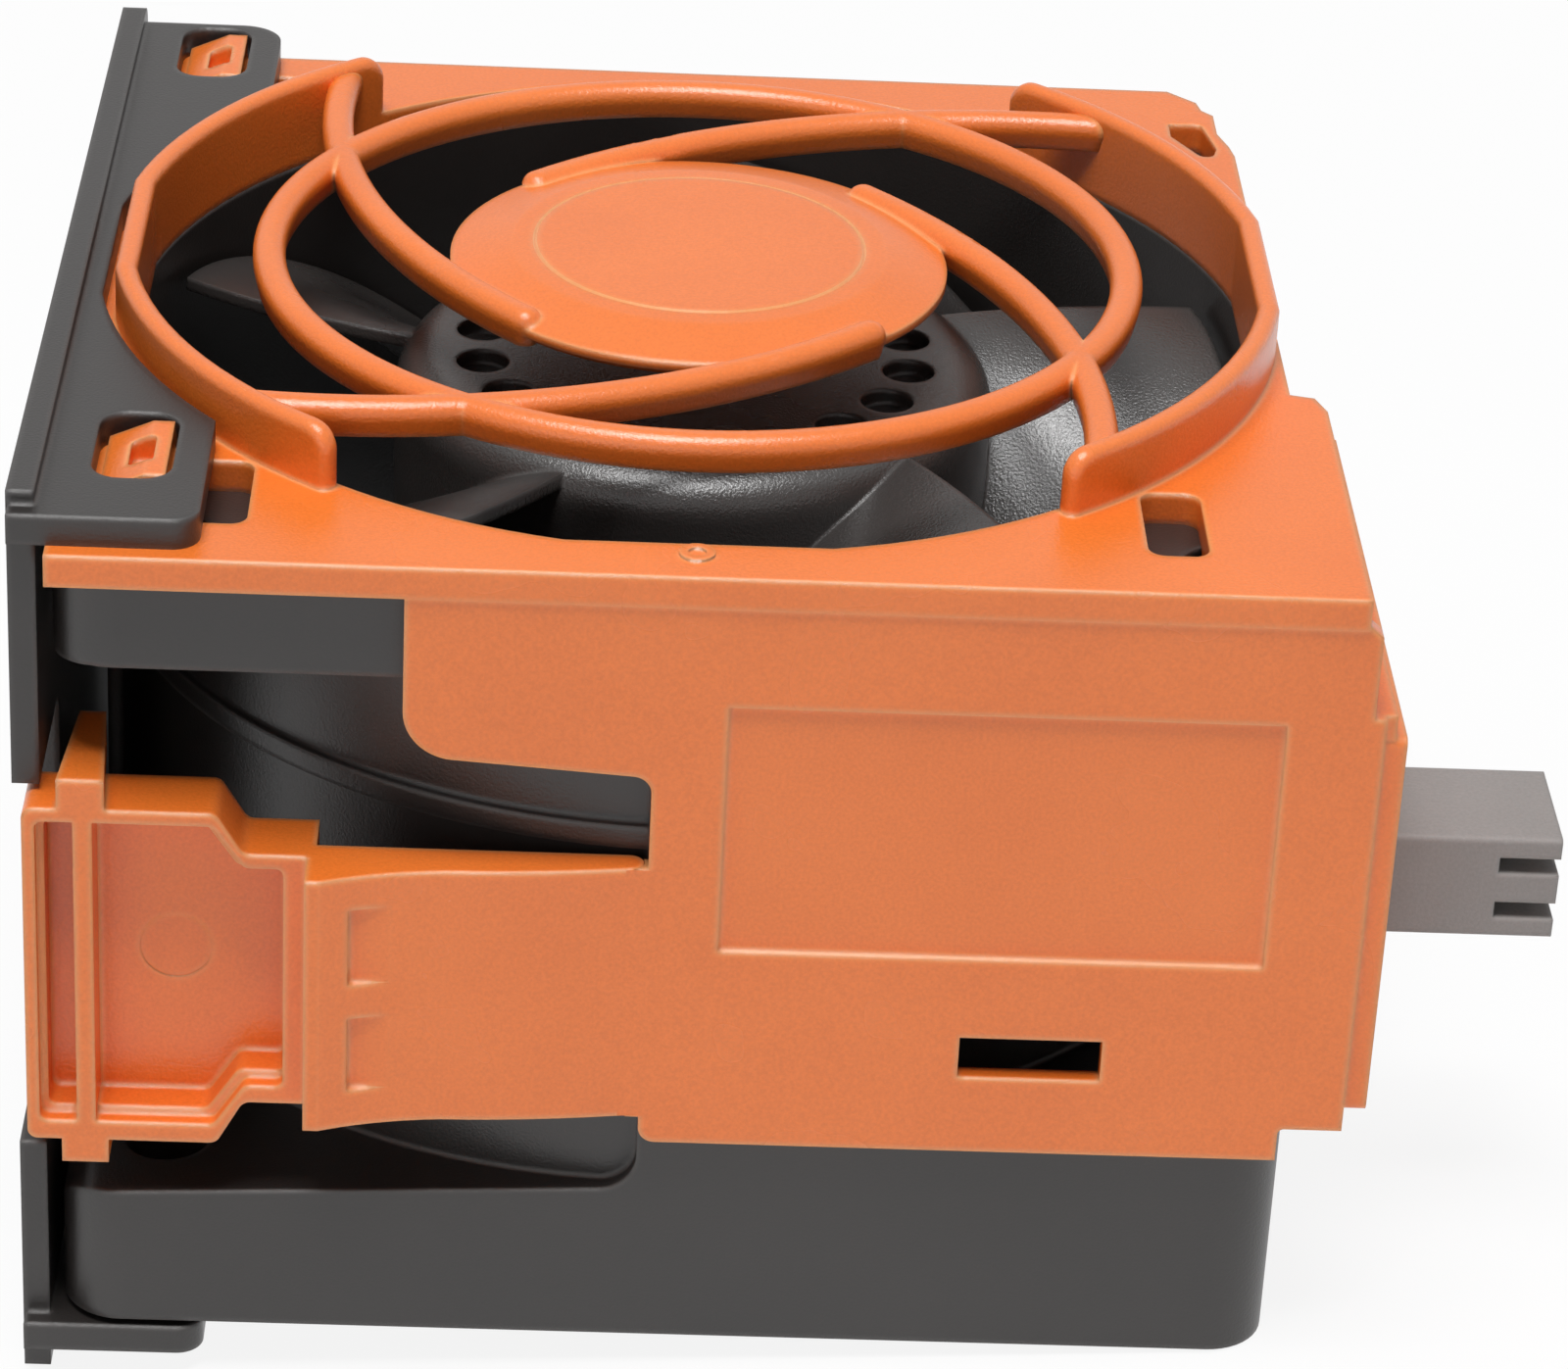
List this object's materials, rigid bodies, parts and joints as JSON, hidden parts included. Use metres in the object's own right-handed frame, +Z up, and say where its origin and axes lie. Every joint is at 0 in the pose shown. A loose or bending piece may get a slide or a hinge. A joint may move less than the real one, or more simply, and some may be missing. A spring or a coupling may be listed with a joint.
{
  "type": "server fan module",
  "caption": "Axial server fan in an orange carrier with a swirl guard, a black end plate, a spring release latch and a plug on the side.",
  "frame": {"origin": "fan axis at the bottom face of the fan frame", "axes": "+X towards the plug, +Y to the back, +Z up along the fan axis towards the guard"},
  "size_m": [0.0756, 0.0651, 0.0498],
  "materials": {
    "orange_plastic": "satin",
    "black_plastic": "fine grained satin",
    "impeller_plastic": "satin",
    "plug_plastic": "matt",
    "spring_steel": "polished",
    "plated_steel": "plated",
    "core_steel": "rolled sheet",
    "ferrite": "matt",
    "brass": "turned",
    "copper": "enamelled wire",
    "tinned_copper": "tinned",
    "white_plastic": "matt",
    "circuit_board": "lacquered",
    "chip_plastic": "matt",
    "lead_sleeve": "satin"
  },
  "bodies": {
    "frame": {"carrier": "orange_plastic", "guard": "orange_plastic", "end_plate": "black_plastic", "fan_frame": "black_plastic", "bearing_tube": "brass", "bearing_outer_rings": "spring_steel", "stator_core": "core_steel", "insulator_lower": "white_plastic", "insulator_upper": "white_plastic", "windings": "copper", "circuit_board": "circuit_board", "terminal_pins": "tinned_copper", "hall_sensor": "chip_plastic", "control_chip": "chip_plastic", "connector_housing": "plug_plastic", "connector_contacts": "tinned_copper", "lead_wires": "lead_sleeve"},
    "rotor": {"impeller": "impeller_plastic", "rotor_yoke": "plated_steel", "ring_magnet": "ferrite", "rotor_shaft": "spring_steel", "retaining_clip": "spring_steel", "preload_washer": "spring_steel", "bearing_inner_rings": "spring_steel"},
    "latch": {"release_latch": "orange_plastic"}
  },
  "joints": [
    {"name": "rotor_spin", "type": "hinge", "parent": "frame", "child": "rotor", "pos_m": [0, 0, 0.0195], "axis": [0, 0, 1], "continuous": true},
    {"name": "latch_flex", "type": "hinge", "parent": "frame", "child": "latch", "pos_m": [-0.0027, -0.0303, 0.0204], "axis": [0, 0, -1], "range_deg": [0, 6], "stiffness_Nm_per_rad": 0.8}
  ]
}
